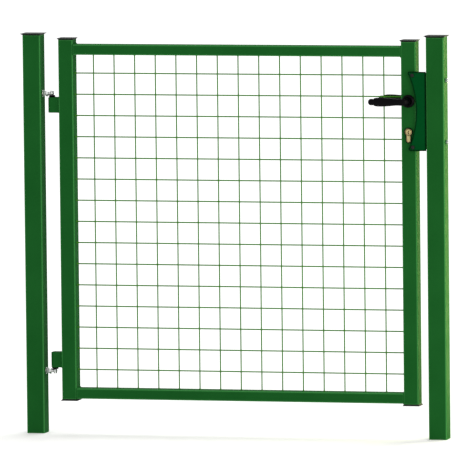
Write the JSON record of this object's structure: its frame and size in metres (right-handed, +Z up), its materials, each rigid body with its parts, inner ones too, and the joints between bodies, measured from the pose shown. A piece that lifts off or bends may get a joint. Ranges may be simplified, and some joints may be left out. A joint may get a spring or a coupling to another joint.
{
  "type": "welded mesh panel gate",
  "caption": "Welded-mesh panel gate leaf hung on pintle hinges between square posts, with a lever lock, profile cylinder, keep and stop plate.",
  "frame": {"origin": "midway between the posts, at the level of their lower ends", "axes": "+X from the hinge post to the lock post, -Y towards the front, where the stop plate is, +Z up"},
  "size_m": [1.0288, 0.1222, 0.945],
  "materials": {
    "green_powder_coat": "moss-green powder coat, semi-gloss, fine texture",
    "green_mesh": "green powder coat over galvanised wire",
    "dark_green_plate": "dark green powder coat, semi-gloss",
    "cap_plastic": "moulded black-grey plastic, fine grain",
    "black_handle": "black moulded polyamide, satin",
    "zinc_plated": "bright zinc plating",
    "lock_steel": "brushed stainless steel",
    "brass": "satin brass",
    "rubber": "black rubber"
  },
  "bodies": {
    "posts": {"hinge_post": "green_powder_coat", "hinge_post_cap": "cap_plastic", "lock_post": "green_powder_coat", "lock_post_cap": "cap_plastic", "upper_pintle": "zinc_plated", "upper_rivet_nut": "zinc_plated", "upper_wall_nut": "zinc_plated", "upper_lock_nut": "zinc_plated", "upper_hinge_washer": "black_handle", "lower_pintle": "zinc_plated", "lower_rivet_nut": "zinc_plated", "lower_wall_nut": "zinc_plated", "lower_lock_nut": "zinc_plated", "lower_hinge_washer": "black_handle", "keep_body": "dark_green_plate", "keep_stop_plate": "dark_green_plate", "upper_keep_stud": "zinc_plated", "lower_keep_stud": "zinc_plated", "upper_keep_cap_nut": "zinc_plated", "lower_keep_cap_nut": "zinc_plated", "upper_stop_buffer": "rubber", "lower_stop_buffer": "rubber"},
    "leaf": {"hinge_stile": "green_powder_coat", "lock_stile": "green_powder_coat", "top_rail": "green_powder_coat", "bottom_rail": "green_powder_coat", "mesh_panel": "green_mesh", "hinge_stile_top_cap": "cap_plastic", "hinge_stile_bottom_cap": "cap_plastic", "lock_stile_top_cap": "cap_plastic", "lock_stile_bottom_cap": "cap_plastic", "upper_hinge_lug": "green_powder_coat", "lower_hinge_lug": "green_powder_coat", "lock_case": "lock_steel", "lock_faceplate": "lock_steel", "upper_faceplate_screw": "lock_steel", "lower_faceplate_screw": "lock_steel", "cylinder_screw": "lock_steel", "front_rose": "black_handle", "back_rose": "black_handle", "cylinder_body": "brass", "front_cylinder_rose": "black_handle", "back_cylinder_rose": "black_handle"},
    "levers": {"front_lever": "black_handle", "back_lever": "black_handle", "spindle": "lock_steel", "follower": "lock_steel"},
    "latch": {"latch_bolt": "lock_steel"},
    "deadbolt": {"deadbolt": "lock_steel"},
    "key_plug": {"front_plug": "brass", "back_plug": "brass", "cylinder_cam": "lock_steel"}
  },
  "joints": [
    {"name": "leaf_swing", "type": "hinge", "parent": "posts", "child": "leaf", "pos_m": [-0.442, 0, 0.475], "axis": [0, 0, 1], "range_deg": [0, 90]},
    {"name": "lever_turn", "type": "hinge", "parent": "leaf", "child": "levers", "pos_m": [0.42225, 0, 0.792], "axis": [0, -1, 0], "range_deg": [0, 40], "stiffness_Nm_per_rad": 0.6, "springref_deg": -34.38},
    {"name": "latch_slide", "type": "slide", "parent": "leaf", "child": "latch", "axis": [-1, 0, 0], "range_m": [0, 0.009]},
    {"name": "key_turn", "type": "hinge", "parent": "leaf", "child": "key_plug", "pos_m": [0.42225, 0, 0.72], "axis": [0, -1, 0], "range_deg": [0, 360]},
    {"name": "deadbolt_slide", "type": "slide", "parent": "leaf", "child": "deadbolt", "axis": [1, 0, 0], "range_m": [0, 0.02]}
  ],
  "couplings": [
    {"joint": "latch_slide", "follows": "lever_turn", "m_per_rad": 0.0128},
    {"joint": "key_turn", "follows": "deadbolt_slide", "rad_per_m": 314}
  ]
}
